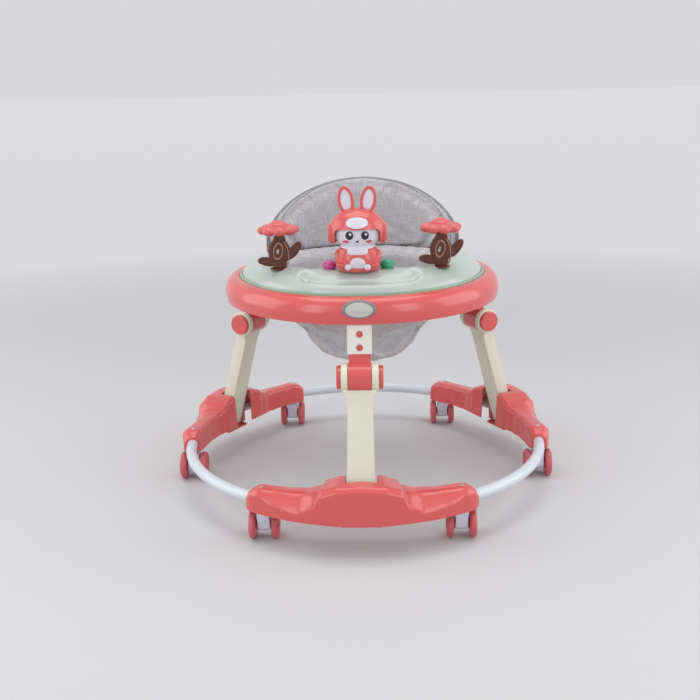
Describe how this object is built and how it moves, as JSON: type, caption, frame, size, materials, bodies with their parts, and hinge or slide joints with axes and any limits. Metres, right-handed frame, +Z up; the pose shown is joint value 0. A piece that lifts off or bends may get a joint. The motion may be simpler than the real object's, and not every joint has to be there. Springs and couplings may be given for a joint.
{
  "type": "baby walker",
  "caption": "Round baby walker: padded seat in a toy tray carried by folding legs on a ring base with twin-wheel casters and corner bumpers.",
  "frame": {"origin": "on the floor at the centre of the base ring", "axes": "+Z up, the child faces -Y, +X to the child's left"},
  "size_m": [0.69, 0.6774, 0.5558],
  "materials": {
    "coral_plastic": "glossy moulded coral plastic",
    "dark_coral_plastic": "moulded coral plastic, unpolished",
    "cream_plastic": "semi-gloss moulded cream plastic",
    "white_plastic": "semi-gloss white plastic",
    "painted_tube": "glossy off-white paint on steel tube",
    "caster_white": "satin white plastic",
    "wheel_plastic": "glossy coral plastic",
    "nylon": "natural nylon",
    "screw_steel": "zinc-plated steel",
    "mint_plastic": "glossy milky mint plastic",
    "green_trim": "glossy green plastic",
    "badge_grey": "satin grey plate, bare",
    "grey_linen": "grey melange linen weave",
    "grey_plastic": "plain grey plastic",
    "brown_plastic": "satin brown plastic",
    "flower_coral": "high-gloss coral plastic",
    "toy_coral": "glossy coral plastic",
    "toy_white": "glossy white plastic",
    "magenta_plastic": "translucent magenta plastic",
    "green_plastic": "translucent green plastic",
    "board_green": "circuit board",
    "speaker_black": "paper cone in a steel basket"
  },
  "bodies": {
    "base": {"base_cover_front": "coral_plastic", "base_cover_left": "coral_plastic", "base_cover_right": "coral_plastic", "caster_bushes": "nylon", "cover_screws": "screw_steel", "leg_sockets": "dark_coral_plastic", "ring_tube_left": "painted_tube", "ring_tube_rear": "painted_tube", "ring_tube_right": "painted_tube"},
    "caster_front_left": {"caster_housing_front_left": "caster_white"},
    "wheels_front_left": {"caster_wheels_front_left": "wheel_plastic"},
    "caster_side_left": {"caster_housing_side_left": "caster_white"},
    "wheels_side_left": {"caster_wheels_side_left": "wheel_plastic"},
    "caster_rear_left": {"caster_housing_rear_left": "caster_white"},
    "wheels_rear_left": {"caster_wheels_rear_left": "wheel_plastic"},
    "caster_rear_right": {"caster_housing_rear_right": "caster_white"},
    "wheels_rear_right": {"caster_wheels_rear_right": "wheel_plastic"},
    "caster_side_right": {"caster_housing_side_right": "caster_white"},
    "wheels_side_right": {"caster_wheels_side_right": "wheel_plastic"},
    "caster_front_right": {"caster_housing_front_right": "caster_white"},
    "wheels_front_right": {"caster_wheels_front_right": "wheel_plastic"},
    "tray": {"tray_ring": "coral_plastic", "badge": "badge_grey", "sleeve_front": "white_plastic", "sleeve_left": "white_plastic", "sleeve_right": "white_plastic", "sleeve_screws": "screw_steel", "backrest_panel": "grey_plastic", "backrest_cover": "grey_linen", "seat_clip": "grey_plastic", "seat": "grey_linen"},
    "knuckle_front": {"knuckle_front": "coral_plastic"},
    "leg_front": {"leg_front": "cream_plastic", "hinge_pin_front": "coral_plastic"},
    "lock_front": {"lock_button_front": "coral_plastic"},
    "knuckle_left": {"knuckle_left": "coral_plastic"},
    "leg_left": {"leg_left": "cream_plastic", "hinge_pin_left": "coral_plastic"},
    "lock_left": {"lock_button_left": "coral_plastic"},
    "knuckle_right": {"knuckle_right": "coral_plastic"},
    "leg_right": {"leg_right": "cream_plastic", "hinge_pin_right": "coral_plastic"},
    "lock_right": {"lock_button_right": "coral_plastic"},
    "toy_tray": {"toy_tray": "mint_plastic", "tray_trim": "green_trim", "music_box": "grey_plastic", "circuit_board": "board_green", "speaker": "speaker_black", "tree_left": "brown_plastic", "tree_right": "brown_plastic", "rabbit_body": "toy_coral", "rabbit_head": "toy_white", "rabbit_hood": "toy_coral"},
    "flower_left": {"flower_left": "flower_coral"},
    "flower_right": {"flower_right": "flower_coral"},
    "press_left": {"press_button_left": "magenta_plastic"},
    "press_right": {"press_button_right": "green_plastic"}
  },
  "joints": [
    {"name": "caster_swivel_front_left", "type": "hinge", "parent": "base", "child": "caster_front_left", "pos_m": [0.16, -0.27713, 0.058], "axis": [0, 0, 1], "continuous": true},
    {"name": "wheel_spin_front_left", "type": "hinge", "parent": "caster_front_left", "child": "wheels_front_left", "pos_m": [0.16, -0.26713, 0.025], "axis": [1, 0, 0], "continuous": true},
    {"name": "caster_swivel_side_left", "type": "hinge", "parent": "base", "child": "caster_side_left", "pos_m": [0.32, 0, 0.058], "axis": [0, 0, 1], "continuous": true},
    {"name": "wheel_spin_side_left", "type": "hinge", "parent": "caster_side_left", "child": "wheels_side_left", "pos_m": [0.32, -0.01, 0.025], "axis": [1, 0, 0], "continuous": true},
    {"name": "caster_swivel_rear_left", "type": "hinge", "parent": "base", "child": "caster_rear_left", "pos_m": [0.16, 0.27713, 0.058], "axis": [0, 0, 1], "continuous": true},
    {"name": "wheel_spin_rear_left", "type": "hinge", "parent": "caster_rear_left", "child": "wheels_rear_left", "pos_m": [0.16, 0.28713, 0.025], "axis": [1, 0, 0], "continuous": true},
    {"name": "caster_swivel_rear_right", "type": "hinge", "parent": "base", "child": "caster_rear_right", "pos_m": [-0.16, 0.27713, 0.058], "axis": [0, 0, 1], "continuous": true},
    {"name": "wheel_spin_rear_right", "type": "hinge", "parent": "caster_rear_right", "child": "wheels_rear_right", "pos_m": [-0.16, 0.28713, 0.025], "axis": [1, 0, 0], "continuous": true},
    {"name": "caster_swivel_side_right", "type": "hinge", "parent": "base", "child": "caster_side_right", "pos_m": [-0.32, 0, 0.058], "axis": [0, 0, 1], "continuous": true},
    {"name": "wheel_spin_side_right", "type": "hinge", "parent": "caster_side_right", "child": "wheels_side_right", "pos_m": [-0.32, -0.01, 0.025], "axis": [1, 0, 0], "continuous": true},
    {"name": "caster_swivel_front_right", "type": "hinge", "parent": "base", "child": "caster_front_right", "pos_m": [-0.16, -0.27713, 0.058], "axis": [0, 0, 1], "continuous": true},
    {"name": "wheel_spin_front_right", "type": "hinge", "parent": "caster_front_right", "child": "wheels_front_right", "pos_m": [-0.16, -0.26713, 0.025], "axis": [1, 0, 0], "continuous": true},
    {"name": "height_adjust", "type": "slide", "parent": "base", "child": "tray", "axis": [0, 0, 1], "range_m": [0, 0.02]},
    {"name": "knuckle_slide_front", "type": "slide", "parent": "tray", "child": "knuckle_front", "axis": [0, 0.309, 0.9511], "range_m": [-0.0212, 0]},
    {"name": "leg_fold_front", "type": "hinge", "parent": "knuckle_front", "child": "leg_front", "pos_m": [0, -0.255, 0.268], "axis": [1, 0, 0], "range_deg": [0, 80]},
    {"name": "lock_press_front", "type": "slide", "parent": "knuckle_front", "child": "lock_front", "axis": [0, 0.9511, -0.309], "range_m": [0, 0.0022], "stiffness_N_per_m": 400, "springref_m": -0.002},
    {"name": "knuckle_slide_left", "type": "slide", "parent": "tray", "child": "knuckle_left", "axis": [-0.2676, -0.1545, 0.9511], "range_m": [-0.0212, 0]},
    {"name": "leg_fold_left", "type": "hinge", "parent": "knuckle_left", "child": "leg_left", "pos_m": [0.22084, 0.1275, 0.268], "axis": [-0.5, 0.866, 0], "range_deg": [0, 80]},
    {"name": "lock_press_left", "type": "slide", "parent": "knuckle_left", "child": "lock_left", "axis": [-0.8236, -0.4755, -0.309], "range_m": [0, 0.0022], "stiffness_N_per_m": 400, "springref_m": -0.002},
    {"name": "knuckle_slide_right", "type": "slide", "parent": "tray", "child": "knuckle_right", "axis": [0.2676, -0.1545, 0.9511], "range_m": [-0.0212, 0]},
    {"name": "leg_fold_right", "type": "hinge", "parent": "knuckle_right", "child": "leg_right", "pos_m": [-0.22084, 0.1275, 0.268], "axis": [-0.5, -0.866, 0], "range_deg": [0, 80]},
    {"name": "lock_press_right", "type": "slide", "parent": "knuckle_right", "child": "lock_right", "axis": [0.8236, -0.4755, -0.309], "range_m": [0, 0.0022], "stiffness_N_per_m": 400, "springref_m": -0.002},
    {"name": "toy_tray_lift", "type": "slide", "parent": "tray", "child": "toy_tray", "axis": [0, 0, 1], "range_m": [0, 0.06]},
    {"name": "flower_spin_left", "type": "hinge", "parent": "toy_tray", "child": "flower_left", "pos_m": [0.13407, -0.118, 0.481], "axis": [0, 0, 1], "continuous": true},
    {"name": "flower_spin_right", "type": "hinge", "parent": "toy_tray", "child": "flower_right", "pos_m": [-0.13407, -0.118, 0.481], "axis": [0, 0, 1], "continuous": true},
    {"name": "button_press_left", "type": "slide", "parent": "toy_tray", "child": "press_left", "axis": [0, 0, -1], "range_m": [0, 0.003], "stiffness_N_per_m": 400, "springref_m": -0.002},
    {"name": "button_press_right", "type": "slide", "parent": "toy_tray", "child": "press_right", "axis": [0, 0, -1], "range_m": [0, 0.003], "stiffness_N_per_m": 400, "springref_m": -0.002}
  ],
  "couplings": [
    {"joint": "knuckle_slide_front", "follows": "height_adjust", "ratio": -1.0515},
    {"joint": "knuckle_slide_left", "follows": "height_adjust", "ratio": -1.0515},
    {"joint": "knuckle_slide_right", "follows": "height_adjust", "ratio": -1.0515}
  ]
}
